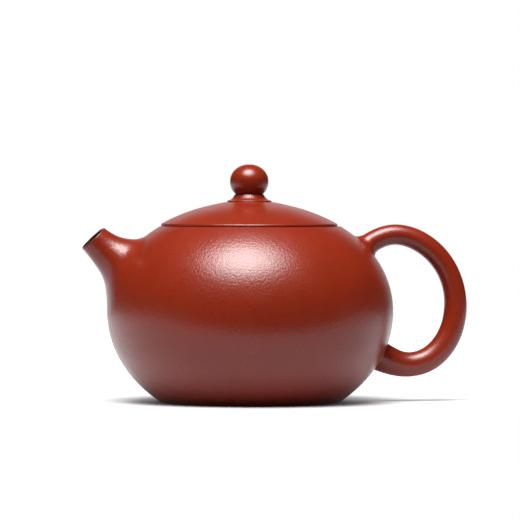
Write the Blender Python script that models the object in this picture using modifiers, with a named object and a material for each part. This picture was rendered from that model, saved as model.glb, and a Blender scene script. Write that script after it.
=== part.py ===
"""A round yixing clay teapot: a flattened ball of a body, a short spout, a loop handle and a lift-off lid.

The pot stands on the plane z = 0 with its turning axis on Z. The spout points along -X and the handle
along +X. Lengths are in metres. Pieces that are luted together keep a joint of GAP between them.
"""

import math

import bmesh
import bpy
from mathutils import Vector

# Body: turned about Z. Below the girth it is an ellipse, and above it a slightly fuller superellipse.
BODY_RADIUS = 0.0500
GIRTH_Z = 0.0314
UPPER_HEIGHT = 0.0378
UPPER_FULLNESS = 2.1
LOWER_HEIGHT = 0.0402
LOWER_FULLNESS = 2.0
WALL = 0.0027
GAP = 0.0003

# Base and foot.
FOOT_INNER_RADIUS = 0.0270
BASE_RECESS = 0.0008
FLOOR_Z = 0.0036
FLOOR_COVE = 0.0010
COVE_SLOPE = 1.6

# Mouth: the ring ends at RING_JOINT_RADIUS on the shoulder, and its flat top is the lid's seat.
SEAT_Z = 0.0615
MOUTH_EDGE_RADIUS = 0.0317
MOUTH_EDGE_BEVEL = 0.0002
RING_JOINT_RADIUS = 0.0345
MOUTH_RADIUS = 0.0272
MOUTH_UNDERSIDE_Z = 0.0586

# Lid: a shallow spherical dome with a collar below and a knob above.
LID_RADIUS = 0.0310
LID_EDGE = 0.0004
DOME_CROWN_Z = 0.0703
DOME_RADIUS = 0.0637
LID_THICKNESS = 0.0026
FLANGE_OUTER_RADIUS = 0.0269
FLANGE_INNER_RADIUS = 0.0246
FLANGE_DEPTH = 0.0070
FLANGE_EDGE = 0.0004
LID_COVE = 0.0012
VENT_RADIUS = 0.0010
NECK_RADIUS = 0.0051
NECK_TOP_Z = 0.0726
NECK_LEAN = math.radians(35)
SKIRT_RADIUS = 0.0083
SKIRT_Z = 0.0704
BALL_RADIUS = 0.0067
BALL_CENTRE_Z = 0.0774
BALL_UPPER_HEIGHT = 0.0058
BALL_LOWER_HEIGHT = 0.0062
BALL_LOWER_FULLNESS = 2.3

# Spout: centreline points (x, z) from the mouth inwards, with the outer and channel radius at each.
SPOUT_LINE = [
    (-0.05559, 0.05724, 0.00527, 0.00425),
    (-0.05414, 0.05579, 0.00535, 0.00405),
    (-0.05040, 0.05315, 0.00638, 0.00445),
    (-0.04750, 0.05060, 0.00810, 0.00560),
    (-0.04410, 0.04820, 0.01080, 0.00760),
    (-0.03900, 0.04440, 0.01350, 0.00760),
]
CHANNEL_INNER_END = (-0.0340, 0.0413)
CHANNEL_FLARE = 1.05

# Handle: centreline points (x, z) and the radius at each, from the upper root to the lower one.
HANDLE_LINE = [
    (0.0380, 0.0515, 0.00440),
    (0.0430, 0.0556, 0.00395),
    (0.0503, 0.0585, 0.00360),
    (0.06065, 0.05585, 0.00372),
    (0.0700, 0.0461, 0.00378),
    (0.07305, 0.0339, 0.00397),
    (0.07035, 0.0223, 0.00420),
    (0.06275, 0.0145, 0.00430),
    (0.0546, 0.0130, 0.00443),
    (0.0478, 0.0149, 0.00465),
    (0.0410, 0.0185, 0.00480),
]

# Strainer: a pierced half ball on the wall's inner face, its axis in line with the spout's root.
STRAINER_CENTRE = Vector((-0.0434, 0, 0.0472))
STRAINER_AXIS = Vector((0.862, 0, -0.507)).normalized()
STRAINER_RADIUS = 0.0105
STRAINER_WALL = 0.0015
STRAINER_SKIRT = 0.0030
STRAINER_HOLE_RADIUS = 0.0008
STRAINER_HOLE_RINGS = [(0, 1), (21, 6), (42, 12), (63, 18)]
STRAINER_PIN_SIDES = 8

BODY_SEGMENTS = 48
LID_SEGMENTS = 48
KNOB_SEGMENTS = 28
STRAINER_SEGMENTS = 28
SHARP_ANGLE = math.radians(40)
MERGE_DISTANCE = 0.00001

# How far up and down the body the two trimming cutters reach, as angles from the girth.
ENVELOPE_TOP = math.radians(70)
CAVITY_TOP = math.radians(55)
CAVITY_BOTTOM = math.radians(-30)

CLAY = (0.22, 0.030, 0.012, 1.0)
CLAY_ROUGHNESS = 0.38


def clear_scene():
    for obj in list(bpy.data.objects):
        bpy.data.objects.remove(obj, do_unlink=True)


def new_collection(name):
    collection = bpy.data.collections.new(name)
    bpy.context.scene.collection.children.link(collection)
    return collection


def clay_material(name, lightness=1.0):
    """Each piece has its own batch of the same red clay."""
    material = bpy.data.materials.new(name)
    material.use_nodes = True
    shader = material.node_tree.nodes["Principled BSDF"]
    colour = [channel * lightness for channel in CLAY[:3]] + [1.0]
    shader.inputs["Base Color"].default_value = colour
    shader.inputs["Roughness"].default_value = CLAY_ROUGHNESS
    shader.inputs["Metallic"].default_value = 0.0
    return material


# Outlines, as lists of (radius, z).


def outline_point(angle, offset=0.0):
    """The body's outline at an angle from the girth, up to +90 degrees, moved outwards by offset."""
    upper = angle > 0
    height = UPPER_HEIGHT if upper else LOWER_HEIGHT
    fullness = UPPER_FULLNESS if upper else LOWER_FULLNESS
    r = BODY_RADIUS * math.cos(angle) ** (2 / fullness)
    dz = height * abs(math.sin(angle)) ** (2 / fullness)
    slope_r = (r / BODY_RADIUS) ** (fullness - 1) / BODY_RADIUS
    slope_z = (dz / height) ** (fullness - 1) / height
    length = math.hypot(slope_r, slope_z)
    sign = 1 if upper else -1
    return (
        r + offset * slope_r / length,
        GIRTH_Z + sign * (dz + offset * slope_z / length),
    )


def angle_at_radius(radius):
    """The angle where the upper outline has this radius."""
    return math.acos((radius / BODY_RADIUS) ** (UPPER_FULLNESS / 2))


def angle_at_foot():
    """The angle where the lower outline meets the table."""
    return -math.asin((GIRTH_Z / LOWER_HEIGHT) ** (LOWER_FULLNESS / 2))


def spaced(start, stop, count):
    return [start + (stop - start) * i / (count - 1) for i in range(count)]


def body_outline(top_angle, bottom_angle, count, offset=0.0):
    return [outline_point(a, offset) for a in spaced(top_angle, bottom_angle, count)]


def dome_z(radius, offset=0.0):
    """Height of the lid's spherical surface, or of the surface that lies offset above it."""
    sphere = DOME_RADIUS + offset
    return DOME_CROWN_Z - DOME_RADIUS + math.sqrt(sphere**2 - radius**2)


def dome_arc(start, stop, count, offset=0.0):
    return [(r, dome_z(r, offset)) for r in spaced(start, stop, count)]


# Object builders.


def turned(name, profile, segments, collection, closed=True):
    """Turns a profile of (radius, z) once round Z. It runs down its outer side."""
    points = [(r, 0, z) for r, z in profile]
    edges = [(i, i + 1) for i in range(len(points) - 1)]
    if closed:
        edges.append((len(points) - 1, 0))
    mesh = bpy.data.meshes.new(name)
    mesh.from_pydata(points, edges, [])
    obj = bpy.data.objects.new(name, mesh)
    collection.objects.link(obj)
    screw = obj.modifiers.new("turn", "SCREW")
    screw.steps = segments
    screw.render_steps = segments
    screw.use_merge_vertices = True
    screw.merge_threshold = MERGE_DISTANCE
    screw.use_smooth_shade = True
    return obj


def tapered_tube(name, line, collection, resolution, sides):
    """A solid tube through (x, z, radius) points in the XZ plane, as a mesh with welded caps."""
    curve = bpy.data.curves.new(name, "CURVE")
    curve.dimensions = "3D"
    curve.bevel_depth = 1.0
    curve.bevel_resolution = sides
    curve.use_fill_caps = True
    curve.resolution_u = resolution
    spline = curve.splines.new("BEZIER")
    spline.bezier_points.add(len(line) - 1)
    for point, (x, z, radius) in zip(spline.bezier_points, line, strict=True):
        point.co = (x, 0, z)
        point.radius = radius
        point.handle_left_type = "AUTO"
        point.handle_right_type = "AUTO"
    guide = bpy.data.objects.new(name + "_curve", curve)
    collection.objects.link(guide)
    graph = bpy.context.evaluated_depsgraph_get()
    mesh = bpy.data.meshes.new_from_object(guide.evaluated_get(graph))
    mesh.name = name
    weld(mesh)
    obj = bpy.data.objects.new(name, mesh)
    obj.matrix_world = guide.matrix_world
    collection.objects.link(obj)
    bpy.data.objects.remove(guide, do_unlink=True)
    return obj


def weld(mesh):
    work = bmesh.new()
    work.from_mesh(mesh)
    bmesh.ops.remove_doubles(work, verts=work.verts, dist=MERGE_DISTANCE)
    bmesh.ops.recalc_face_normals(work, faces=work.faces)
    work.to_mesh(mesh)
    work.free()


def boolean(obj, cutter, operation="DIFFERENCE"):
    modifier = obj.modifiers.new(operation.lower() + "_" + cutter.name, "BOOLEAN")
    modifier.operation = operation
    modifier.object = cutter


def hide_cutter(obj):
    obj.hide_render = True
    obj.display_type = "WIRE"


def finish(obj, material):
    """Gives a piece its clay and smooth shading, with its edges kept sharp."""
    obj.data.materials.append(material)
    if obj.data.polygons:
        obj.data.shade_smooth()
        obj.data.set_sharp_from_angle(angle=SHARP_ANGLE)
    return obj


# Cutters.


def envelope_cutter(cutters):
    """The body's outer form, GAP larger, which trims the roots of the spout and the handle."""
    profile = body_outline(ENVELOPE_TOP, angle_at_foot(), 34, GAP)
    profile = [(0, profile[0][1])] + profile + [(0, profile[-1][1])]
    obj = turned("envelope_cutter", profile, BODY_SEGMENTS * 2, cutters, closed=False)
    hide_cutter(obj)
    return obj


def cavity_cutter(cutters):
    """The space inside the wall, GAP smaller, which trims the strainer's foot."""
    profile = body_outline(CAVITY_TOP, CAVITY_BOTTOM, 20, -WALL - GAP)
    profile = [(0, profile[0][1])] + profile + [(0, profile[-1][1])]
    obj = turned("cavity_cutter", profile, BODY_SEGMENTS * 2, cutters, closed=False)
    hide_cutter(obj)
    return obj


def channel_cutter(cutters):
    """The way that the tea takes through the wall and the spout, run out past the spout's mouth."""
    mouth_x, mouth_z, _, mouth_r = SPOUT_LINE[0]
    next_x, next_z = SPOUT_LINE[1][:2]
    outside = (2 * mouth_x - next_x, 2 * mouth_z - next_z, mouth_r * CHANNEL_FLARE)
    line = [outside]
    line += [(x, z, channel) for x, z, _, channel in SPOUT_LINE]
    line.append((*CHANNEL_INNER_END, SPOUT_LINE[-1][3]))
    obj = tapered_tube("channel_cutter", line, cutters, resolution=3, sides=4)
    hide_cutter(obj)
    return obj


def strainer_hole_cutter(cutters):
    """All the strainer's holes as one object: radial pins, in rings about the strainer's axis."""
    work = bmesh.new()
    to_axis = Vector((0, 0, 1)).rotation_difference(STRAINER_AXIS)
    for tilt, count in STRAINER_HOLE_RINGS:
        for i in range(count):
            turn = 2 * math.pi * i / count
            lean = math.radians(tilt)
            local = Vector(
                (
                    math.sin(lean) * math.cos(turn),
                    math.sin(lean) * math.sin(turn),
                    math.cos(lean),
                )
            )
            direction = to_axis @ local
            middle = STRAINER_CENTRE + direction * (STRAINER_RADIUS - STRAINER_WALL / 2)
            rotation = Vector((0, 0, 1)).rotation_difference(direction).to_matrix().to_4x4()
            made = bmesh.ops.create_cone(
                work,
                cap_ends=True,
                segments=STRAINER_PIN_SIDES,
                radius1=STRAINER_HOLE_RADIUS,
                radius2=STRAINER_HOLE_RADIUS,
                depth=STRAINER_WALL * 3,
            )
            bmesh.ops.transform(work, matrix=rotation, verts=made["verts"])
            bmesh.ops.translate(work, vec=middle, verts=made["verts"])
    mesh = bpy.data.meshes.new("strainer_hole_cutter")
    work.to_mesh(mesh)
    work.free()
    obj = bpy.data.objects.new("strainer_hole_cutter", mesh)
    cutters.objects.link(obj)
    hide_cutter(obj)
    return obj


# Pieces of the pot.


def make_pot_wall(parts, channel):
    """The wall, from its joint with the mouth ring down to the foot, and back up its inner face."""
    top = angle_at_radius(RING_JOINT_RADIUS)
    outer = body_outline(top, angle_at_foot(), 18)
    outer[-1] = (outer[-1][0], 0.0)
    inner = body_outline(angle_at_foot(), top, 17, -WALL)
    inner = [(r, z) for r, z in inner if z > FLOOR_Z + FLOOR_COVE]
    ledge_radius = inner[0][0] - (inner[0][1] - FLOOR_Z) * COVE_SLOPE
    foot = [(FOOT_INNER_RADIUS, 0.0), (FOOT_INNER_RADIUS, FLOOR_Z), (ledge_radius, FLOOR_Z)]
    obj = turned("pot_wall", outer + foot + inner, BODY_SEGMENTS, parts)
    boolean(obj, channel)
    return finish(obj, clay_material("pot_wall"))


def make_base_disc(parts):
    edge = FOOT_INNER_RADIUS - GAP
    profile = [(0, FLOOR_Z), (edge, FLOOR_Z), (edge, BASE_RECESS), (0, BASE_RECESS)]
    obj = turned("base_disc", profile, BODY_SEGMENTS, parts, closed=False)
    return finish(obj, clay_material("base_disc", 0.95))


def make_mouth_ring(parts):
    """The ring from the lid's seat out to its joint with the wall, GAP short of it."""
    joint = angle_at_radius(RING_JOINT_RADIUS - GAP)
    outer = body_outline(angle_at_radius(MOUTH_EDGE_RADIUS), joint, 4)
    inner_joint = outline_point(joint, -WALL)
    profile = [(MOUTH_EDGE_RADIUS - MOUTH_EDGE_BEVEL, SEAT_Z)]
    profile += outer
    profile += [inner_joint, (MOUTH_RADIUS, MOUTH_UNDERSIDE_Z), (MOUTH_RADIUS, SEAT_Z)]
    obj = turned("mouth_ring", profile, BODY_SEGMENTS, parts)
    return finish(obj, clay_material("mouth_ring", 1.02))


def make_spout(parts, channel, envelope):
    line = [(x, z, outer) for x, z, outer, _ in SPOUT_LINE]
    obj = tapered_tube("spout", line, parts, resolution=3, sides=6)
    boolean(obj, channel)
    boolean(obj, envelope)
    return finish(obj, clay_material("spout", 1.03))


def make_strainer(parts, cavity, holes):
    """A half ball with a short skirt, trimmed to the wall's inner face and pierced."""
    lean = spaced(0, math.pi / 2, 7)
    outer = [(STRAINER_RADIUS * math.sin(a), STRAINER_RADIUS * math.cos(a)) for a in lean]
    inside = STRAINER_RADIUS - STRAINER_WALL
    inner = [(inside * math.sin(a), inside * math.cos(a)) for a in reversed(lean)]
    skirt = [(STRAINER_RADIUS, -STRAINER_SKIRT), (inside, -STRAINER_SKIRT)]
    obj = turned("strainer", outer + skirt + inner, STRAINER_SEGMENTS, parts, closed=False)
    obj.location = STRAINER_CENTRE
    obj.rotation_euler = Vector((0, 0, 1)).rotation_difference(STRAINER_AXIS).to_euler()
    boolean(obj, cavity, "INTERSECT")
    boolean(obj, holes)
    return finish(obj, clay_material("strainer", 0.9))


def make_handle(parts, envelope):
    obj = tapered_tube("handle", HANDLE_LINE, parts, resolution=5, sides=6)
    boolean(obj, envelope)
    return finish(obj, clay_material("handle", 1.03))


# Pieces of the lid. They are turned round the pot's axis, along which the lid lifts off.


def make_lid_plate(parts, lid):
    rest_z = SEAT_Z + GAP
    outer = dome_arc(VENT_RADIUS, LID_RADIUS - LID_EDGE, 10)
    edge = [
        (LID_RADIUS, outer[-1][1] - LID_EDGE / 2),
        (LID_RADIUS, rest_z + LID_EDGE / 2),
        (LID_RADIUS - LID_EDGE / 2, rest_z),
        (FLANGE_INNER_RADIUS - GAP, rest_z),
    ]
    hollow = dome_arc(FLANGE_INNER_RADIUS - LID_COVE, VENT_RADIUS, 7, -LID_THICKNESS)
    obj = turned("lid_plate", outer + edge + hollow, LID_SEGMENTS, parts)
    obj.parent = lid
    return finish(obj, clay_material("lid_plate"))


def make_lid_flange(parts, lid):
    bottom_z = SEAT_Z - FLANGE_DEPTH
    profile = [
        (FLANGE_OUTER_RADIUS, SEAT_Z),
        (FLANGE_OUTER_RADIUS, bottom_z + FLANGE_EDGE),
        (FLANGE_OUTER_RADIUS - FLANGE_EDGE, bottom_z),
        (FLANGE_INNER_RADIUS + FLANGE_EDGE, bottom_z),
        (FLANGE_INNER_RADIUS, bottom_z + FLANGE_EDGE),
        (FLANGE_INNER_RADIUS, SEAT_Z),
    ]
    obj = turned("lid_flange", profile, LID_SEGMENTS, parts)
    obj.parent = lid
    return finish(obj, clay_material("lid_flange", 0.95))


def make_knob_neck(parts, lid):
    """A concave flare from the ball down to a thin skirt on the dome: an arc that starts leaning out."""
    width = (SKIRT_RADIUS - NECK_RADIUS) / math.cos(NECK_LEAN)
    height = (NECK_TOP_Z - SKIRT_Z) / (1 - math.sin(NECK_LEAN))
    flare = [
        (SKIRT_RADIUS - width * math.cos(a), SKIRT_Z + height * (1 - math.sin(a)))
        for a in spaced(NECK_LEAN, math.pi / 2, 7)
    ]
    foot = dome_arc(SKIRT_RADIUS, VENT_RADIUS, 5, GAP)
    profile = [(VENT_RADIUS, NECK_TOP_Z)] + flare + foot
    obj = turned("knob_neck", profile, KNOB_SEGMENTS, parts)
    obj.parent = lid
    return finish(obj, clay_material("knob_neck"))


def make_knob_ball(parts, lid):
    """A slightly flattened ball, fuller below its middle and cut flat where it meets the neck."""
    bottom_z = NECK_TOP_Z + GAP
    drop = (BALL_CENTRE_Z - bottom_z) / BALL_LOWER_HEIGHT
    power = 2 / BALL_LOWER_FULLNESS
    profile = []
    for a in spaced(math.acos(VENT_RADIUS / BALL_RADIUS), 0, 7):
        profile.append((BALL_RADIUS * math.cos(a), BALL_CENTRE_Z + BALL_UPPER_HEIGHT * math.sin(a)))
    for a in spaced(0, math.asin(drop ** (1 / power)), 6)[1:]:
        radius = BALL_RADIUS * math.cos(a) ** power
        profile.append((radius, BALL_CENTRE_Z - BALL_LOWER_HEIGHT * math.sin(a) ** power))
    profile.append((VENT_RADIUS, bottom_z))
    obj = turned("knob_ball", profile, KNOB_SEGMENTS, parts)
    obj.parent = lid
    return finish(obj, clay_material("knob_ball", 1.03))


def main():
    clear_scene()
    parts = new_collection("yixing_teapot")
    cutters = new_collection("cutters")
    envelope = envelope_cutter(cutters)
    cavity = cavity_cutter(cutters)
    channel = channel_cutter(cutters)
    holes = strainer_hole_cutter(cutters)
    lid = bpy.data.objects.new("lid_axis", None)
    parts.objects.link(lid)
    make_pot_wall(parts, channel)
    make_base_disc(parts)
    make_mouth_ring(parts)
    make_spout(parts, channel, envelope)
    make_strainer(parts, cavity, holes)
    make_handle(parts, envelope)
    make_lid_plate(parts, lid)
    make_lid_flange(parts, lid)
    make_knob_neck(parts, lid)
    make_knob_ball(parts, lid)


main()
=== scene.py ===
"""The looks of a round yixing clay teapot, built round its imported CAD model.

Each clay piece of the frame is replaced by a finer one of the same size: turned pieces get rounded
edges, and the spout and the handle are lofted along smooth centrelines and filleted into the body, as
a potter smooths slip over a joint. Lengths are in metres, and the frame's boxes give the main sizes.
"""

import math

import bmesh
import bpy
import numpy as np
from mathutils import Matrix, Vector


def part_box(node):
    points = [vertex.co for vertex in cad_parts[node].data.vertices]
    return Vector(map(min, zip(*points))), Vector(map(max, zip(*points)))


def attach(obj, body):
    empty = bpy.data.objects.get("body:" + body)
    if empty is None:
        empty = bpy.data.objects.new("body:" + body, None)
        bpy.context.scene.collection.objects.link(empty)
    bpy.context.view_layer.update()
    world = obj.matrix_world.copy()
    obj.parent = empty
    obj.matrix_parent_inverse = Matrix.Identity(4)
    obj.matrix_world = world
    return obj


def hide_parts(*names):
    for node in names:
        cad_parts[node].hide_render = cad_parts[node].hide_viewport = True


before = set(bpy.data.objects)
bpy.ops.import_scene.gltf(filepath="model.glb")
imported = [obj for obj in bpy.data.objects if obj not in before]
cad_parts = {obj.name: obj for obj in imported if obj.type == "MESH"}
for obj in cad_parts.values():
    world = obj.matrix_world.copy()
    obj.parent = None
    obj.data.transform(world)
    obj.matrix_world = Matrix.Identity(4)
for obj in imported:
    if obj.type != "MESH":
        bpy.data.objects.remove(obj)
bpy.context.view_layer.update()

MM = 0.001

# Sizes that the frame gives.
BODY_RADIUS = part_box("pot_wall")[1].y
SEAT_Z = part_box("mouth_ring")[1].z
BASE_LOW, BASE_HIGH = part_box("base_disc")
LID_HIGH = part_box("lid_plate")[1]
FLANGE_LOW, FLANGE_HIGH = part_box("lid_flange")
NECK_LOW, NECK_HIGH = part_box("knob_neck")
BALL_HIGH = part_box("knob_ball")[1]

# Body outline: an ellipse below the girth and a slightly fuller superellipse above it.
GIRTH_Z = 31.4 * MM
UPPER_HEIGHT = 37.8 * MM
UPPER_FULLNESS = 2.1
LOWER_HEIGHT = 40.2 * MM
LOWER_FULLNESS = 2.0
WALL = 2.7 * MM

# Foot and inside corner of the wall, and the base disc's dish.
FOOT_OUTER_ROUND = 0.5 * MM
FOOT_INNER_ROUND = 0.4 * MM
FOOT_PLAY = 0.15 * MM
INSIDE_CORNER_RISE = 1.0 * MM
INSIDE_CORNER_CUT = 3.2 * MM
INSIDE_CORNER_ROUND = 4.0 * MM
BASE_DISH = 0.25 * MM

# Mouth ring.
RING_JOINT_RADIUS = 33.3 * MM
MOUTH_EDGE_RADIUS = 31.7 * MM
MOUTH_EDGE_SETBACK = 0.05 * MM
MOUTH_EDGE_ROUND = 0.6 * MM
MOUTH_RADIUS = 27.2 * MM
MOUTH_UNDERSIDE_Z = 58.6 * MM
MOUTH_UNDERSIDE_ROUND = 0.6 * MM
MOUTH_SEAT_ROUND = 0.5 * MM

# Lid. The dome is part of a sphere, lifted a little towards the knob.
DOME_CROWN_Z = 70.3 * MM
DOME_RADIUS = 63.7 * MM
CROWN_LIFT = 0.42 * MM
CROWN_RADIUS = 15.0 * MM
LID_THICKNESS = 2.6 * MM
LID_GAP = 0.1 * MM
LID_SHIFT = -0.36 * MM
RIM_TRIM = 0.15 * MM
RIM_UPPER_ROUND = 0.58 * MM
RIM_LOWER_ROUND = 0.18 * MM
HOLLOW_INSET = 1.2 * MM
FLANGE_WALL = 2.3 * MM
FLANGE_ROUND = 0.7 * MM
VENT_RADIUS = 1.0 * MM

# Knob: the neck's concave flare is an oval's arc between two angles, from steep to nearly flat.
NECK_RADIUS = 5.1 * MM
FLARE_START = math.radians(35)
FLARE_END = math.radians(82)
SKIRT_RADIUS = 7.75 * MM
SKIRT_THICKNESS = 0.45 * MM
SKIRT_ROUND = 0.3 * MM
SKIRT_SINK = 0.06 * MM
BALL_MIDDLE_Z = 77.4 * MM
BALL_LOWER_HEIGHT = 6.2 * MM
BALL_LOWER_FULLNESS = 2.3
VENT_ROUND = 0.2 * MM
KNOB_SHIFT = -0.42 * MM

# Spout: centreline x and z, outer radius and channel radius, from the mouth inwards. Its mouth is cut a
# little askew, further in on top and on the near side. A fillet's reach up its tube and its spread over
# the body are given on top and underneath.
SPOUT_LINE = np.array(
    [
        (-55.40, 57.44, 5.20, 4.62),
        (-52.68, 54.95, 5.72, 4.45),
        (-50.00, 52.65, 6.58, 4.65),
        (-47.45, 50.72, 7.93, 5.60),
        (-44.70, 48.70, 10.08, 6.80),
        (-39.60, 44.90, 12.85, 7.60),
    ]
) * MM
MOUTH_SKEW = 0.36 * MM
MOUTH_TURN = 0.06 * MM
LIP_ROUND = 0.46 * MM
SPOUT_REACH = (2.7 * MM, 4.7 * MM)
SPOUT_SPREAD = (3.0 * MM, 7.4 * MM)
CHANNEL_PLAY = 0.4 * MM
# Points this close to the channel's surface get the painted shade.
PAINTED_SHADE_DEPTH = 0.1 * MM

# Handle: centreline x and z, and radius, from the upper root to the lower one.
HANDLE_LINE = np.array(
    [
        (37.73, 51.79, 4.00),
        (42.87, 55.79, 3.70),
        (50.30, 58.50, 3.60),
        (60.65, 55.85, 3.72),
        (70.00, 46.10, 3.78),
        (73.03, 33.90, 3.96),
        (70.35, 22.30, 4.20),
        (62.75, 14.50, 4.30),
        (54.60, 13.00, 4.43),
        (47.85, 15.05, 5.10),
        (41.00, 18.60, 5.80),
    ]
) * MM
HANDLE_UPPER_REACH = (3.0 * MM, 3.4 * MM)
HANDLE_UPPER_SPREAD = (2.6 * MM, 2.0 * MM)
HANDLE_LOWER_REACH = 0.5 * MM

# Fillets: how full they are, how far their edge runs on just under the body's surface, how far under
# it, and how deep it goes into the wall.
ROOT_FULLNESS = 0.55
ROOT_TUCK = 1.0 * MM
ROOT_SINK = 0.004 * MM
ROOT_BURY = 1.3 * MM

# Strainer: a pierced half ball inside the wall, its axis in line with the spout's root.
STRAINER_CENTRE = Vector((-43.4, 0, 47.2)) * MM
STRAINER_AXIS = Vector((0.862, 0, -0.507)).normalized()
STRAINER_RADIUS = 10.5 * MM
STRAINER_WALL = 1.5 * MM
STRAINER_SKIRT = 8.0 * MM
STRAINER_SEAT = 0.8 * MM
STRAINER_HOLE_RADIUS = 0.8 * MM
STRAINER_HOLE_RINGS = [(0, 1), (21, 6), (42, 12), (63, 18)]

# Mesh resolution.
TURN_STEPS = 256
KNOB_STEPS = 128
TUBE_SIDES = 96
CUTTER_SIDES = 64
OUTER_STEPS = 140
INNER_STEPS = 90
SHARP_ANGLE = math.radians(40)

# Clay: colours, noise scales, the ranges of the noise that are used, and the unit of clay()'s heights.
RED, DEEP_RED = (0.188, 0.0150, 0.0036), (0.178, 0.0138, 0.0033)
MATT_RED, MATT_DEEP_RED = (0.180, 0.026, 0.012), (0.150, 0.020, 0.009)
# A near-black painted shade for the inside of the spout's channel.
CHANNEL_PAINTED_SHADE = (0.010, 0.004, 0.004)
CLOUD_SCALE = 90
CLOUD_RANGE = (0.35, 0.65)
WEAR_SCALE = 160
WEAR_RANGE = (0.3, 0.7)
WEAR = 0.03
SAND_SCALE = 2600
SAND_RANGE = (0.62, 0.72)
SAND_SHARE = 0.20
GRAIN_SCALE = 2200
CRINKLE_SCALE = 1200
RING_SCALE = 1600
HEIGHT_UNIT = 0.01 * MM

# Camera: a long lens. Its place and its target are both a little to the right of the pot's middle.
CAMERA_YAW = math.radians(8.5)
CAMERA_ROLL = math.radians(-0.1)
CAMERA_DISTANCE = 1.59
CAMERA_Z = 0.0795
CAMERA_TARGET_Z = 0.0497
CAMERA_ASIDE = 0.0034
SENSOR_WIDTH = 36
LENS = 314.9

# Light: two discs in one direction, a screen behind the pot, and a table with painted light: it glows
# round the pot's foot, but not under the foot nor in front of it, which leaves a painted contact shadow
# there, and again further back. Each of the table's ramps is given by where it starts, where it is
# full, and how strong it is there.
LIGHT_AIM_Z = 45 * MM
KEY_AZIMUTH = 18
KEY_ELEVATION = 68.4
SCREEN_ELEVATION = math.radians(5)
SCREEN_EDGE = (0.84, 0.96)
ROOM_STRENGTH = 0.02
SCREEN_STRENGTH = 0.70
FLOOR_SIDE = 700 * MM
FLOOR_FRONT = 115 * MM
FLOOR_BACK = 900 * MM
FLOOR_WHITE = (0.505, 0.510, 0.530)
PAINTED_LIGHT_WHITE = (0.97, 0.99, 1)
FOOT_PAINTED_LIGHT = (29 * MM, 46 * MM, 0.34)
FRONT_PAINTED_SHADE = (-45 * MM, 15 * MM, 1.0)
BACK_PAINTED_LIGHT = (30 * MM, 400 * MM, 0.46)


# Curves and outlines.


class Spline:
    """A smooth curve through rows of numbers whose first two columns are x and z."""

    def __init__(self, rows):
        self.rows = rows
        self.step = np.linalg.norm(np.diff(rows[:, :2], axis=0), axis=1)
        self.knots = np.concatenate([[0], np.cumsum(self.step)])
        self.length = self.knots[-1]
        system = np.eye(len(rows))
        pull = np.zeros(rows.shape)
        for i in range(1, len(rows) - 1):
            before, after = self.step[i - 1], self.step[i]
            system[i, i - 1 : i + 2] = before, 2 * (before + after), after
            pull[i] = 6 * ((rows[i + 1] - rows[i]) / after - (rows[i] - rows[i - 1]) / before)
        self.bend = np.linalg.solve(system, pull)

    def _place(self, t):
        i = np.clip(np.searchsorted(self.knots, t) - 1, 0, len(self.step) - 1)
        h = self.step[i]
        u = ((self.knots[i + 1] - t) / h)[..., None]
        return i, h[..., None], u, 1 - u

    def at(self, t):
        i, h, u, v = self._place(np.asarray(t, float))
        straight = u * self.rows[i] + v * self.rows[i + 1]
        return straight + ((u**3 - u) * self.bend[i] + (v**3 - v) * self.bend[i + 1]) * h**2 / 6

    def slope(self, t):
        i, h, u, v = self._place(np.asarray(t, float))
        straight = (self.rows[i + 1] - self.rows[i]) / h
        return straight + ((1 - 3 * u**2) * self.bend[i] + (3 * v**2 - 1) * self.bend[i + 1]) * h / 6


class Tube:
    """A round tube whose centreline and radius follow a spline in the XZ plane."""

    def __init__(self, rows):
        self.spline = Spline(rows)
        self.length = self.spline.length

    def outward(self, t, angle):
        """The radial direction. Angle 0 is the side to the left of the way along the centreline."""
        slope = self.spline.slope(t)[..., :2]
        slope = slope / np.linalg.norm(slope, axis=-1, keepdims=True)
        c, s = np.cos(angle), np.sin(angle)
        return np.stack([-slope[..., 1] * c, s, slope[..., 0] * c], axis=-1)

    def surface(self, t, angle, inset=0.0):
        """Points of the tube, or of the tube that lies inset below its surface."""
        x, z, radius = np.moveaxis(self.spline.at(t), -1, 0)
        centre = np.stack([x, np.zeros_like(x), z], axis=-1)
        return centre + (radius - inset)[..., None] * self.outward(t, angle)


def unit(v):
    return v / np.linalg.norm(v, axis=-1, keepdims=True)


def body_gap_and_normal(p):
    """How far points lie outside the body's outer form, and the form's normals there."""
    r = np.hypot(p[..., 0], p[..., 1])
    h = p[..., 2] - GIRTH_Z
    height = np.where(h > 0, UPPER_HEIGHT, LOWER_HEIGHT)
    fullness = np.where(h > 0, UPPER_FULLNESS, LOWER_FULLNESS)
    a, b = r / BODY_RADIUS, np.abs(h) / height
    total = a**fullness + b**fullness
    slope_r = a ** (fullness - 1) / BODY_RADIUS
    slope_z = np.sign(h) * b ** (fullness - 1) / height
    steepness = total ** (1 / fullness - 1) * np.hypot(slope_r, slope_z)
    gap = (total ** (1 / fullness) - 1) / steepness
    normal = np.stack([p[..., 0] / r * slope_r, p[..., 1] / r * slope_r, slope_z], axis=-1)
    return gap, unit(normal)


def onto_body(p, below=0.0):
    """Points moved onto the body's outer form, or to a depth below it."""
    for _ in range(4):
        gap, normal = body_gap_and_normal(p)
        p = p - (gap + below)[..., None] * normal
    return p


def outline_point(angle, offset=0.0):
    """The body's outline, as (radius, z), at an angle from the girth, moved outwards by offset."""
    upper = angle > 0
    height = UPPER_HEIGHT if upper else LOWER_HEIGHT
    power = 2 / (UPPER_FULLNESS if upper else LOWER_FULLNESS)
    r = BODY_RADIUS * math.cos(angle) ** power
    z = GIRTH_Z + math.copysign(height * abs(math.sin(angle)) ** power, angle)
    normal = body_gap_and_normal(np.array([r, 0.0, z]))[1]
    return r + offset * normal[0], z + offset * normal[2]


def angle_at_radius(radius):
    return math.acos((radius / BODY_RADIUS) ** (UPPER_FULLNESS / 2))


def body_outline(top_angle, bottom_angle, count, offset=0.0):
    return [outline_point(a, offset) for a in np.linspace(top_angle, bottom_angle, count)]


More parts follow.
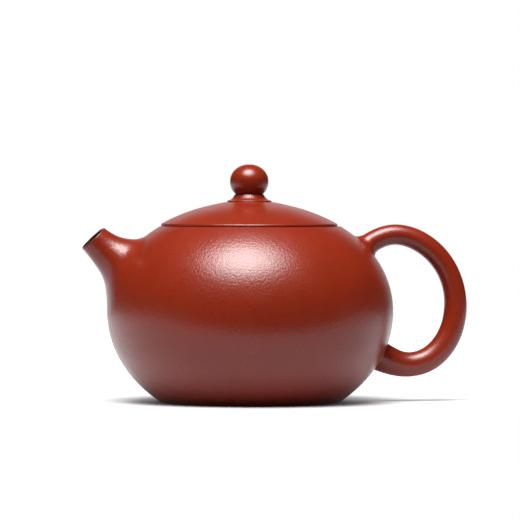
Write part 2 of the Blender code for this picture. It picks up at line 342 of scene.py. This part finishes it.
def dome_z(radius, offset=0.0):
    """Height of the lid's domed surface, or of the surface that lies offset above it. It is a sphere
    that rises a touch more towards the knob."""
    lift = CROWN_LIFT * max(0, 1 - (radius / CROWN_RADIUS) ** 2) ** 2
    return lift + DOME_CROWN_Z - DOME_RADIUS + math.sqrt((DOME_RADIUS + offset) ** 2 - radius**2)


def dome_arc(start, stop, count, offset=0.0):
    return [(r, dome_z(r, offset)) for r in np.linspace(start, stop, count)]


def rounded(profile, corners, steps=6):
    """A closed profile of (r, z) whose corners, given as {index: radius}, are rounded off."""
    result = []
    count = len(profile)
    for i, point in enumerate(profile):
        if i not in corners:
            result.append(point)
            continue
        here = Vector(point)
        before = (Vector(profile[i - 1]) - here).normalized()
        after = (Vector(profile[(i + 1) % count]) - here).normalized()
        half = before.angle(after) / 2
        cut = corners[i] / math.tan(half)
        centre = here + (before + after).normalized() * (corners[i] / math.sin(half))
        start, stop = here + before * cut - centre, here + after * cut - centre
        for k in range(steps + 1):
            spoke = start.lerp(stop, k / steps).normalized() * corners[i]
            result.append(tuple(centre + spoke))
    return result


# Mesh builders.


def add_object(name, vertices, faces):
    """A smooth-shaded mesh object whose faces point out and whose crisp edges stay crisp."""
    mesh = bpy.data.meshes.new(name)
    mesh.from_pydata([tuple(v) for v in vertices], [], [tuple(f) for f in faces])
    work = bmesh.new()
    work.from_mesh(mesh)
    bmesh.ops.remove_doubles(work, verts=work.verts, dist=1e-7)
    bmesh.ops.delete(work, geom=[e for e in work.edges if not e.link_faces], context="EDGES")
    bmesh.ops.recalc_face_normals(work, faces=work.faces)
    if work.calc_volume(signed=True) < 0:
        bmesh.ops.reverse_faces(work, faces=work.faces)
    work.to_mesh(mesh)
    work.free()
    mesh.shade_smooth()
    mesh.set_sharp_from_angle(angle=SHARP_ANGLE)
    obj = bpy.data.objects.new(name, mesh)
    bpy.context.scene.collection.objects.link(obj)
    return obj


def strip_faces(first, second, count):
    """Quads between two rings of count vertices that start at these indices."""
    return [
        (first + k, first + (k + 1) % count, second + (k + 1) % count, second + k)
        for k in range(count)
    ]


def loft(name, rings, loop=False):
    """A closed mesh through rings of points. Its ends are joined, or filled round a middle point."""
    count = len(rings[0])
    vertices = np.concatenate(rings)
    faces = []
    for i in range(len(rings) - 1):
        faces += strip_faces(i * count, (i + 1) * count, count)
    if loop:
        faces += strip_faces((len(rings) - 1) * count, 0, count)
    else:
        for start, ring in ((0, rings[0]), ((len(rings) - 1) * count, rings[-1])):
            middle = len(vertices)
            vertices = np.vstack([vertices, ring.mean(axis=0)])
            faces += [(start + k, start + (k + 1) % count, middle) for k in range(count)]
    return add_object(name, vertices, faces)


def turned(name, profile, steps=TURN_STEPS, shear=None):
    """Turns a closed profile of (r, z) round Z. shear(z) moves each height along X."""
    turn = np.linspace(0, 2 * math.pi, steps, endpoint=False)
    rings = []
    for r, z in profile:
        x = r * np.cos(turn) + (shear(z) if shear else 0)
        rings.append(np.stack([x, r * np.sin(turn), np.full(steps, z)], axis=-1))
    return loft(name, rings, loop=True)


def applied(obj, modifier):
    """The object with its one modifier made real."""
    graph = bpy.context.evaluated_depsgraph_get()
    mesh = bpy.data.meshes.new_from_object(obj.evaluated_get(graph))
    obj.modifiers.remove(modifier)
    obj.data = mesh
    mesh.name = obj.name
    return obj


def cut(obj, cutter):
    """Takes the cutter's form out of an object, and removes the cutter."""
    modifier = obj.modifiers.new("cut", "BOOLEAN")
    modifier.operation = "DIFFERENCE"
    modifier.object = cutter
    applied(obj, modifier)
    bpy.data.objects.remove(cutter, do_unlink=True)
    obj.data.shade_smooth()
    obj.data.set_sharp_from_angle(angle=SHARP_ANGLE)
    return obj


# Tubes that grow out of the body.


def root_parameter(tube, angle, outside, inside, depth=0.0):
    """Where each generator line of a tube passes through the body's surface, or a depth below it. The
    place is looked for between one outside the body and one inside it."""
    low, high = np.full(angle.shape, outside), np.full(angle.shape, inside)
    for _ in range(40):
        middle = (low + high) / 2
        outer = body_gap_and_normal(tube.surface(middle, angle))[0] > -depth
        low = np.where(outer, middle, low)
        high = np.where(outer, high, middle)
    return (low + high) / 2


class Root:
    """The fillet from a tube onto the body. reach is how far it runs up the tube, and spread how far
    it runs out over the body, for each angle round the tube."""

    def __init__(self, tube, angle, outside, inside, reach, spread):
        self.way = 1 if inside > outside else -1
        crossing = root_parameter(tube, angle, outside, inside)
        self.start = crossing - self.way * reach
        self.tube, self.angle, self.crossing, self.spread = tube, angle, crossing, spread

    def rings(self, count):
        """Rings from the tube out to the body, then just under its surface and into the wall."""
        corner = self.tube.surface(self.crossing, self.angle)
        start = self.tube.surface(self.start, self.angle)
        along = unit(self.tube.surface(self.start + self.way * 1e-5, self.angle) - start)
        normal = body_gap_and_normal(corner)[1]
        outward = self.tube.outward(self.crossing, self.angle)
        away = unit(outward - (outward * normal).sum(-1, keepdims=True) * normal)
        end = onto_body(corner + self.spread[:, None] * away)
        end_normal = body_gap_and_normal(end)[1]
        away = unit(away - (away * end_normal).sum(-1, keepdims=True) * end_normal)
        first = np.linalg.norm(corner - start, axis=-1, keepdims=True)
        last = np.linalg.norm(corner - end, axis=-1, keepdims=True)
        lean_in = start + ROOT_FULLNESS * first * along
        lean_out = end - ROOT_FULLNESS * last * away
        rings = []
        for u in np.linspace(0, 1, count + 1)[1:]:
            v = 1 - u
            rings.append(v**3 * start + 3 * v * v * u * lean_in + 3 * v * u * u * lean_out + u**3 * end)
        rings.append(onto_body(end + ROOT_TUCK * away, ROOT_SINK))
        rings.append(onto_body(end + ROOT_TUCK * away, ROOT_BURY))
        return rings


def tube_gap(tube, p):
    """How far a point lies outside a tube."""
    t = np.linspace(0, tube.length, 200)
    x, z, radius = np.moveaxis(tube.spline.at(t), -1, 0)
    return np.min(np.sqrt((p[0] - x) ** 2 + p[1] ** 2 + (p[2] - z) ** 2) - radius)


def mark_painted_shade(obj, test):
    """Marks the points of a piece that lie inside it, which the clay gives a painted shade, near black.
    """
    marks = obj.data.attributes.new("inside", "FLOAT", "POINT")
    for point, mark in zip(obj.data.vertices, marks.data):
        mark.value = 1.0 if test(point.co) else 0.0


def tube_rings(tube, angle, start, stop, count):
    """Rings along a tube between two places, each given for every angle round it."""
    return [tube.surface(start + (stop - start) * u, angle) for u in np.linspace(0, 1, count)]


def by_side(angle, left, right):
    """A size that changes smoothly round a tube, from its left side (angle 0) to its right."""
    return right + (left - right) * (0.5 + 0.5 * np.cos(angle))


# Pieces of the pot.


def make_wall():
    """The body wall from its foot to the joint with the mouth ring, pierced behind the spout."""
    foot_angle = -math.asin((GIRTH_Z / LOWER_HEIGHT) ** (LOWER_FULLNESS / 2))
    top = angle_at_radius(RING_JOINT_RADIUS)
    outer = body_outline(top, foot_angle, OUTER_STEPS)
    inner = body_outline(foot_angle, top, INNER_STEPS, -WALL)
    inner = [p for p in inner if p[1] > BASE_HIGH.z + INSIDE_CORNER_RISE]
    foot_inner = BASE_HIGH.y + FOOT_PLAY
    corner = (inner[0][0] - INSIDE_CORNER_CUT, BASE_HIGH.z)
    profile = outer + [(foot_inner, 0.0), (foot_inner, BASE_HIGH.z), corner] + inner
    n = len(outer)
    corners = {n - 1: FOOT_OUTER_ROUND, n: FOOT_INNER_ROUND, n + 2: INSIDE_CORNER_ROUND}
    wall = turned("body_wall", rounded(profile, corners))
    channel = Tube(SPOUT_LINE[:, [0, 1, 3]])
    angle = np.linspace(0, 2 * math.pi, CUTTER_SIDES, endpoint=False)
    stops = np.linspace(0.35 * channel.length, channel.length, 12)
    rings = [channel.surface(np.full(CUTTER_SIDES, t), angle, inset=-CHANNEL_PLAY) for t in stops]
    return cut(wall, loft("wall_cutter", rings))


def make_mouth_ring():
    """The ring that the lid rests on, with a softly rounded outer edge."""
    joint = angle_at_radius(RING_JOINT_RADIUS)
    outer = body_outline(angle_at_radius(MOUTH_EDGE_RADIUS), joint, 8)[1:]
    inner_joint = outline_point(joint, -WALL)
    edge = (MOUTH_EDGE_RADIUS - MOUTH_EDGE_SETBACK, SEAT_Z)
    profile = [edge] + outer + [inner_joint, (MOUTH_RADIUS, MOUTH_UNDERSIDE_Z), (MOUTH_RADIUS, SEAT_Z)]
    n = len(profile)
    corners = {0: MOUTH_EDGE_ROUND, n - 2: MOUTH_UNDERSIDE_ROUND, n - 1: MOUTH_SEAT_ROUND}
    return turned("mouth_rim", rounded(profile, corners))


def make_base():
    """The pressed-in base disc, very slightly dished underneath."""
    edge = BASE_HIGH.y
    dish = [(r, BASE_LOW.z + BASE_DISH * (1 - (r / edge) ** 2)) for r in np.linspace(edge, 0, 16)]
    profile = [(0, BASE_HIGH.z), (edge, BASE_HIGH.z)] + dish
    return turned("base", profile)


def make_spout():
    """The spout with its channel and a thin rounded lip, filleted onto the shoulder."""
    outer = Tube(SPOUT_LINE[:, [0, 1, 2]])
    channel = Tube(SPOUT_LINE[:, [0, 1, 3]])
    angle = np.linspace(0, 2 * math.pi, TUBE_SIDES, endpoint=False)
    mouth = MOUTH_SKEW * np.cos(angle) - MOUTH_TURN * np.sin(angle)
    reach, spread = by_side(angle, *SPOUT_REACH), by_side(angle, *SPOUT_SPREAD)
    root = Root(outer, angle, 0.2 * outer.length, outer.length, reach, spread)
    inner_round = SPOUT_LINE[0, 2] - SPOUT_LINE[0, 3] - LIP_ROUND
    lip_rings = []
    for a in np.linspace(math.pi, 0, 13)[1:-1]:
        edge = LIP_ROUND if a > math.pi / 2 else inner_round
        back = np.full(TUBE_SIDES, edge * (1 - math.sin(a)))
        lip_rings.append(outer.surface(mouth + back, angle, LIP_ROUND + edge * math.cos(a)))
    rings = tube_rings(outer, angle, mouth + LIP_ROUND, root.start, 40)
    rings += root.rings(14)
    from_outside = 0.3 * channel.length
    channel_end = root_parameter(channel, angle, from_outside, channel.length, depth=ROOT_BURY)
    rings += tube_rings(channel, angle, channel_end, mouth + inner_round, 30)
    spout = loft("spout_shell", rings + lip_rings, loop=True)
    # The channel's inner surface is marked for the clay's painted shade.
    mark_painted_shade(spout, lambda p: tube_gap(channel, p) < PAINTED_SHADE_DEPTH)
    return spout


def make_handle():
    """The loop handle. Its upper root is smoothed in, and its lower one is a crisp joint."""
    tube = Tube(HANDLE_LINE)
    angle = np.linspace(0, 2 * math.pi, TUBE_SIDES, endpoint=False)
    reach, spread = by_side(angle, *HANDLE_UPPER_REACH), by_side(angle, *HANDLE_UPPER_SPREAD)
    upper = Root(tube, angle, 0.25 * tube.length, 0.0, reach, spread)
    reach = np.full(TUBE_SIDES, HANDLE_LOWER_REACH)
    lower = Root(tube, angle, 0.75 * tube.length, tube.length, reach, reach)
    rings = upper.rings(12)[::-1]
    rings += tube_rings(tube, angle, upper.start, lower.start, 150)
    rings += lower.rings(6)
    return loft("handle_loop", rings)


def make_strainer():
    """A pierced half ball over the channel's inner end, its skirt let into the wall."""
    across = Vector((0, 1, 0)).cross(STRAINER_AXIS)
    turn = np.linspace(0, 2 * math.pi, TUBE_SIDES, endpoint=False)[:, None]
    spoke = np.cos(turn) * np.array(across) + np.sin(turn) * np.array((0, 1, 0))

    def ring(radius, height):
        return np.array(STRAINER_CENTRE) + radius * spoke + height * np.array(STRAINER_AXIS)

    def skirt_end(radius):
        low, high = np.full(turn.shape, -STRAINER_SKIRT), np.zeros(turn.shape)
        for _ in range(30):
            middle = (low + high) / 2
            in_wall = body_gap_and_normal(ring(radius, middle))[0][:, None] > STRAINER_SEAT - WALL
            low = np.where(in_wall, middle, low)
            high = np.where(in_wall, high, middle)
        return ring(radius, low)

    inside = STRAINER_RADIUS - STRAINER_WALL
    lean = np.linspace(0, math.pi / 2, 24)
    outer = [ring(STRAINER_RADIUS * math.sin(a), STRAINER_RADIUS * math.cos(a)) for a in lean]
    inner = [ring(inside * math.sin(a), inside * math.cos(a)) for a in lean[::-1]]
    rings = outer + [skirt_end(STRAINER_RADIUS), skirt_end(inside)] + inner
    dome = loft("strainer_dome", rings, loop=True)
    turn_to_axis = Vector((0, 0, 1)).rotation_difference(STRAINER_AXIS).to_matrix().to_4x4()
    place = Matrix.Translation(STRAINER_CENTRE) @ turn_to_axis
    pins = bmesh.new()
    for tilt, count in STRAINER_HOLE_RINGS:
        for i in range(count):
            spin = Matrix.Rotation(2 * math.pi * i / count, 4, "Z")
            spin = spin @ Matrix.Rotation(math.radians(tilt), 4, "Y")
            out = Matrix.Translation((0, 0, STRAINER_RADIUS - STRAINER_WALL / 2))
            bmesh.ops.create_cone(
                pins,
                cap_ends=True,
                segments=16,
                radius1=STRAINER_HOLE_RADIUS,
                radius2=STRAINER_HOLE_RADIUS,
                depth=STRAINER_WALL * 3,
                matrix=place @ spin @ out,
            )
    mesh = bpy.data.meshes.new("pins")
    pins.to_mesh(mesh)
    pins.free()
    cutter = bpy.data.objects.new("pins", mesh)
    bpy.context.scene.collection.objects.link(cutter)
    return cut(dome, cutter)


# Pieces of the lid.


def make_lid_plate():
    """The domed lid with a full, rounded rim."""
    rest_z = SEAT_Z + LID_GAP
    radius = LID_HIGH.y - RIM_TRIM
    outer = dome_arc(VENT_RADIUS, radius, 60)
    flange_inner = FLANGE_HIGH.y - FLANGE_WALL
    hollow = dome_arc(flange_inner - HOLLOW_INSET, VENT_RADIUS, 30, -LID_THICKNESS)
    profile = outer + [(radius, rest_z), (flange_inner, rest_z)] + hollow
    n = len(outer)
    profile = rounded(profile, {n - 1: RIM_UPPER_ROUND, n: RIM_LOWER_ROUND}, steps=10)
    return turned("lid_dome", profile, shear=lambda z: LID_SHIFT)


def make_lid_flange():
    """The collar under the lid, a plain ring with rounded lower edges."""
    top = SEAT_Z
    outer, inner = FLANGE_HIGH.y, FLANGE_HIGH.y - FLANGE_WALL
    profile = [(outer, top), (outer, FLANGE_LOW.z), (inner, FLANGE_LOW.z), (inner, top)]
    profile = rounded(profile, {1: FLANGE_ROUND, 2: FLANGE_ROUND})
    return turned("lid_collar", profile)


def knob_shear(z):
    """The lid sits a little towards the spout, and the ball was set by hand a touch further still."""
    share = min(max((z - NECK_LOW.z) / (NECK_HIGH.z - NECK_LOW.z), 0), 1)
    return LID_SHIFT + (KNOB_SHIFT - LID_SHIFT) * share * share * (3 - 2 * share)


def make_knob_neck():
    """A concave flare down to a thin skirt on the dome."""
    skirt_z = dome_z(SKIRT_RADIUS, SKIRT_THICKNESS)
    width = (SKIRT_RADIUS - NECK_RADIUS) / math.cos(FLARE_START)
    height = (NECK_HIGH.z - skirt_z) / (1 - math.sin(FLARE_START))
    flare = [
        (SKIRT_RADIUS - width * math.cos(a), skirt_z + height * (1 - math.sin(a)))
        for a in np.linspace(FLARE_START, FLARE_END, 24)
    ]
    flare.append((SKIRT_RADIUS, skirt_z))
    foot = dome_arc(SKIRT_RADIUS, VENT_RADIUS, 10, -SKIRT_SINK)
    profile = [(VENT_RADIUS, NECK_HIGH.z)] + flare + foot
    profile = rounded(profile, {len(flare): SKIRT_ROUND})
    return turned("knob_base", profile, steps=KNOB_STEPS, shear=knob_shear)


def make_knob_ball():
    """A slightly flattened ball with the vent's mouth on top."""
    radius = BALL_HIGH.y
    upper = BALL_HIGH.z - BALL_MIDDLE_Z
    upper = upper / math.sin(math.acos(VENT_RADIUS / radius))
    power = 2 / BALL_LOWER_FULLNESS
    bottom_z = NECK_HIGH.z
    drop = math.asin(((BALL_MIDDLE_Z - bottom_z) / BALL_LOWER_HEIGHT) ** (1 / power))
    profile = [
        (radius * math.cos(a), BALL_MIDDLE_Z + upper * math.sin(a))
        for a in np.linspace(math.acos(VENT_RADIUS / radius), 0, 40)
    ]
    profile += [
        (radius * math.cos(a) ** power, BALL_MIDDLE_Z - BALL_LOWER_HEIGHT * math.sin(a) ** power)
        for a in np.linspace(0, drop, 32)[1:]
    ]
    profile.append((VENT_RADIUS, bottom_z))
    profile = rounded(profile, {0: VENT_ROUND})
    return turned("knob", profile, steps=KNOB_STEPS, shear=knob_shear)


# Materials.


def clay(name, red, deep, roughness, crinkle=0.0, grain=0.15, rings=0.0):
    """Fired red clay: two close reds, fine sand and, where it is burnished, a soft crinkle, with a
    near-black painted shade on the points marked inside a spout's channel. The grain, the crinkle and
    the rings of a turned piece are heights in HEIGHT_UNIT."""
    material = bpy.data.materials.new(name)
    material.use_nodes = True
    nodes, links = material.node_tree.nodes, material.node_tree.links
    shader = nodes["Principled BSDF"]
    place = nodes.new("ShaderNodeTexCoord").outputs["Object"]

    def noise(scale, detail, share=0.5):
        node = nodes.new("ShaderNodeTexNoise")
        node.inputs["Scale"].default_value = scale
        node.inputs["Detail"].default_value = detail
        node.inputs["Roughness"].default_value = share
        links.new(place, node.inputs["Vector"])
        return node.outputs["Fac"]

    def spread(value, low, high, new_low, new_high):
        node = nodes.new("ShaderNodeMapRange")
        node.inputs["From Min"].default_value = low
        node.inputs["From Max"].default_value = high
        node.inputs["To Min"].default_value = new_low
        node.inputs["To Max"].default_value = new_high
        links.new(value, node.inputs["Value"])
        return node.outputs["Result"]

    def mixed(factor, first, second):
        node = nodes.new("ShaderNodeMix")
        node.data_type = "RGBA"
        links.new(factor, node.inputs["Factor"])
        for socket, value in (("A", first), ("B", second)):
            target = [s for s in node.inputs if s.name == socket and s.type == "RGBA"][0]
            if isinstance(value, tuple):
                target.default_value = (*value, 1.0)
            else:
                links.new(value, target)
        return [s for s in node.outputs if s.type == "RGBA"][0]

    def raised(height, distance, under=None):
        node = nodes.new("ShaderNodeBump")
        node.inputs["Strength"].default_value = 1.0
        node.inputs["Distance"].default_value = distance
        links.new(height, node.inputs["Height"])
        if under:
            links.new(under, node.inputs["Normal"])
        return node.outputs["Normal"]

    clouds = spread(noise(CLOUD_SCALE, 3), *CLOUD_RANGE, 0.0, 1.0)
    colour = mixed(clouds, deep, red)
    sand = spread(noise(SAND_SCALE, 2, 0.6), *SAND_RANGE, 0.0, SAND_SHARE)
    pale = tuple(c * 1.4 + 0.004 for c in red)
    colour = mixed(sand, colour, pale)
    inside = nodes.new("ShaderNodeAttribute")
    inside.attribute_name = "inside"
    # Painted shade: points marked inside the spout's channel turn near black.
    colour = mixed(inside.outputs["Fac"], colour, CHANNEL_PAINTED_SHADE)
    links.new(colour, shader.inputs["Base Color"])
    wear = spread(noise(WEAR_SCALE, 4), *WEAR_RANGE, roughness - WEAR, roughness + WEAR)
    links.new(wear, shader.inputs["Roughness"])
    normal = raised(noise(GRAIN_SCALE, 3, 0.55), grain * HEIGHT_UNIT)
    if crinkle:
        normal = raised(noise(CRINKLE_SCALE, 1), crinkle * HEIGHT_UNIT, normal)
    if rings:
        split = nodes.new("ShaderNodeSeparateXYZ")
        links.new(place, split.inputs["Vector"])
        radius = nodes.new("ShaderNodeVectorMath")
        radius.operation = "LENGTH"
        flat = nodes.new("ShaderNodeCombineXYZ")
        links.new(split.outputs["X"], flat.inputs["X"])
        links.new(split.outputs["Y"], flat.inputs["Y"])
        links.new(flat.outputs["Vector"], radius.inputs[0])
        line = nodes.new("ShaderNodeTexNoise")
        line.noise_dimensions = "1D"
        line.inputs["Scale"].default_value = RING_SCALE
        line.inputs["Detail"].default_value = 2
        links.new(radius.outputs["Value"], line.inputs["W"])
        normal = raised(line.outputs["Fac"], rings * HEIGHT_UNIT, normal)
    links.new(normal, shader.inputs["Normal"])
    shader.inputs["IOR"].default_value = 1.5
    return material


def paint(obj, material):
    obj.data.materials.clear()
    obj.data.materials.append(material)


# Room.


def look_at(obj, target):
    obj.rotation_euler = (Vector(target) - obj.location).to_track_quat("-Z", "Y").to_euler()


def softbox(name, azimuth, elevation, distance, diameter, power):
    """A round soft light aimed at the pot. Azimuth 0 is -Y, and positive angles turn towards -X."""
    data = bpy.data.lights.new(name, "AREA")
    data.shape = "DISK"
    data.size = diameter
    data.energy = power
    obj = bpy.data.objects.new(name, data)
    bpy.context.scene.collection.objects.link(obj)
    a, e = math.radians(azimuth), math.radians(elevation)
    obj.location = (
        -distance * math.sin(a) * math.cos(e),
        -distance * math.cos(a) * math.cos(e),
        LIGHT_AIM_Z + distance * math.sin(e),
    )
    look_at(obj, (0, 0, LIGHT_AIM_Z))
    obj.visible_camera = False


def make_floor():
    """A white table with painted light: its glow grows towards the back, and it is left out under the
    pot and in front of its foot as a painted contact shadow.
    """
    mesh = bpy.data.meshes.new("floor")
    front, back = -FLOOR_FRONT, FLOOR_BACK
    corners = [(-FLOOR_SIDE, front), (FLOOR_SIDE, front), (FLOOR_SIDE, back), (-FLOOR_SIDE, back)]
    mesh.from_pydata([(x, y, 0) for x, y in corners], [], [(0, 1, 2, 3)])
    floor = bpy.data.objects.new("floor", mesh)
    bpy.context.scene.collection.objects.link(floor)
    material = bpy.data.materials.new("painted_light_table")
    material.use_nodes = True
    nodes, links = material.node_tree.nodes, material.node_tree.links
    shader = nodes["Principled BSDF"]
    shader.inputs["Base Color"].default_value = (*FLOOR_WHITE, 1)
    shader.inputs["Roughness"].default_value = 0.9
    shader.inputs["Specular IOR Level"].default_value = 0.0
    shader.inputs["Emission Color"].default_value = (*PAINTED_LIGHT_WHITE, 1)
    place = nodes.new("ShaderNodeTexCoord").outputs["Object"]
    split = nodes.new("ShaderNodeSeparateXYZ")
    links.new(place, split.inputs["Vector"])
    reach = nodes.new("ShaderNodeVectorMath")
    reach.operation = "LENGTH"
    links.new(place, reach.inputs[0])

    def ramp(value, start, stop, strength):
        node = nodes.new("ShaderNodeMapRange")
        node.inputs["From Min"].default_value = start
        node.inputs["From Max"].default_value = stop
        node.inputs["To Max"].default_value = strength
        links.new(value, node.inputs["Value"])
        return node.outputs["Result"]

    # Painted light round the foot, none within the foot's reach or in front of it: a painted contact
    # shadow.
    foot_painted_light = nodes.new("ShaderNodeMath")
    foot_painted_light.operation = "MULTIPLY"
    links.new(ramp(reach.outputs["Value"], *FOOT_PAINTED_LIGHT), foot_painted_light.inputs[0])
    links.new(ramp(split.outputs["Y"], *FRONT_PAINTED_SHADE), foot_painted_light.inputs[1])
    # More painted light further back, added to that round the foot.
    painted_light = nodes.new("ShaderNodeMath")
    painted_light.operation = "ADD"
    links.new(foot_painted_light.outputs["Value"], painted_light.inputs[0])
    links.new(ramp(split.outputs["Y"], *BACK_PAINTED_LIGHT), painted_light.inputs[1])
    links.new(painted_light.outputs["Value"], shader.inputs["Emission Strength"])
    paint(floor, material)


def make_world():
    """A dim room with a pale screen behind the pot. The camera sees plain white."""
    world = bpy.data.worlds.new("studio")
    bpy.context.scene.world = world
    world.use_nodes = True
    nodes, links = world.node_tree.nodes, world.node_tree.links
    nodes.clear()
    direction = nodes.new("ShaderNodeTexCoord").outputs["Generated"]
    behind = nodes.new("ShaderNodeVectorMath")
    behind.operation = "DOT_PRODUCT"
    screen = Vector((math.sin(CAMERA_YAW), math.cos(CAMERA_YAW), math.tan(SCREEN_ELEVATION)))
    behind.inputs[1].default_value = screen.normalized()
    links.new(direction, behind.inputs[0])
    fade = nodes.new("ShaderNodeMapRange")
    fade.interpolation_type = "SMOOTHSTEP"
    fade.inputs["From Min"].default_value = SCREEN_EDGE[0]
    fade.inputs["From Max"].default_value = SCREEN_EDGE[1]
    fade.inputs["To Min"].default_value = ROOM_STRENGTH
    fade.inputs["To Max"].default_value = SCREEN_STRENGTH
    links.new(behind.outputs["Value"], fade.inputs["Value"])
    room = nodes.new("ShaderNodeBackground")
    room.inputs["Color"].default_value = (1, 1, 1, 1)
    links.new(fade.outputs["Result"], room.inputs["Strength"])
    seen = nodes.new("ShaderNodeBackground")
    seen.inputs["Color"].default_value = (1, 1, 1, 1)
    seen.inputs["Strength"].default_value = 1.0
    rays = nodes.new("ShaderNodeLightPath")
    mix = nodes.new("ShaderNodeMixShader")
    links.new(rays.outputs["Is Camera Ray"], mix.inputs["Fac"])
    links.new(room.outputs["Background"], mix.inputs[1])
    links.new(seen.outputs["Background"], mix.inputs[2])
    output = nodes.new("ShaderNodeOutputWorld")
    links.new(mix.outputs["Shader"], output.inputs["Surface"])


def make_camera():
    """A long lens, a little above the pot's middle, with the spout turned slightly towards it."""
    yaw, roll = CAMERA_YAW, CAMERA_ROLL
    right = Vector((math.cos(yaw), -math.sin(yaw), 0))
    ahead = Vector((math.sin(yaw), math.cos(yaw), 0))
    place = right * CAMERA_ASIDE - ahead * CAMERA_DISTANCE + Vector((0, 0, CAMERA_Z))
    forward = (right * CAMERA_ASIDE + Vector((0, 0, CAMERA_TARGET_Z)) - place).normalized()
    up = right.cross(forward)
    level_right = right * math.cos(roll) - up * math.sin(roll)
    level_up = right * math.sin(roll) + up * math.cos(roll)
    data = bpy.data.cameras.new("camera")
    data.sensor_width = SENSOR_WIDTH
    data.lens = LENS
    camera = bpy.data.objects.new("camera", data)
    bpy.context.scene.collection.objects.link(camera)
    axes = Matrix((level_right, level_up, -forward)).transposed()
    camera.matrix_world = Matrix.Translation(place) @ axes.to_4x4()
    bpy.context.scene.camera = camera


def main():
    burnished = clay("burnished_clay", RED, DEEP_RED, roughness=0.30, crinkle=8.0)
    smooth = clay("smooth_clay", RED, DEEP_RED, roughness=0.29, crinkle=1.5)
    turned_clay = clay("lid_clay", RED, DEEP_RED, roughness=0.30, crinkle=1.5, rings=1.5)
    matt = clay("matt_clay", MATT_RED, MATT_DEEP_RED, roughness=0.62, grain=1.0)
    for make, material, body, slot, nodes in (
        (make_wall, burnished, "pot", "red_clay", ["pot_wall"]),
        (make_mouth_ring, burnished, "pot", "red_clay", ["mouth_ring"]),
        (make_base, matt, "pot", "red_clay", ["base_disc"]),
        (make_spout, burnished, "pot", "red_clay", ["spout"]),
        (make_handle, smooth, "pot", "red_clay", ["handle"]),
        (make_strainer, matt, "pot", "red_clay_inside", ["strainer"]),
        (make_lid_plate, turned_clay, "lid", "red_clay", ["lid_plate"]),
        (make_lid_flange, matt, "lid", "red_clay", ["lid_flange"]),
        (make_knob_neck, smooth, "lid", "red_clay", ["knob_neck"]),
        (make_knob_ball, smooth, "lid", "red_clay", ["knob_ball"]),
    ):
        piece = make()
        paint(piece, material)
        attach(piece, body)
        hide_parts(*nodes)
    make_floor()
    make_world()
    softbox("key_core", KEY_AZIMUTH, KEY_ELEVATION, distance=1.32, diameter=0.72, power=15.0)
    softbox("key_edge", KEY_AZIMUTH, KEY_ELEVATION, distance=1.33, diameter=1.25, power=34.5)
    make_camera()
    bpy.context.scene.view_settings.view_transform = "Standard"


main()
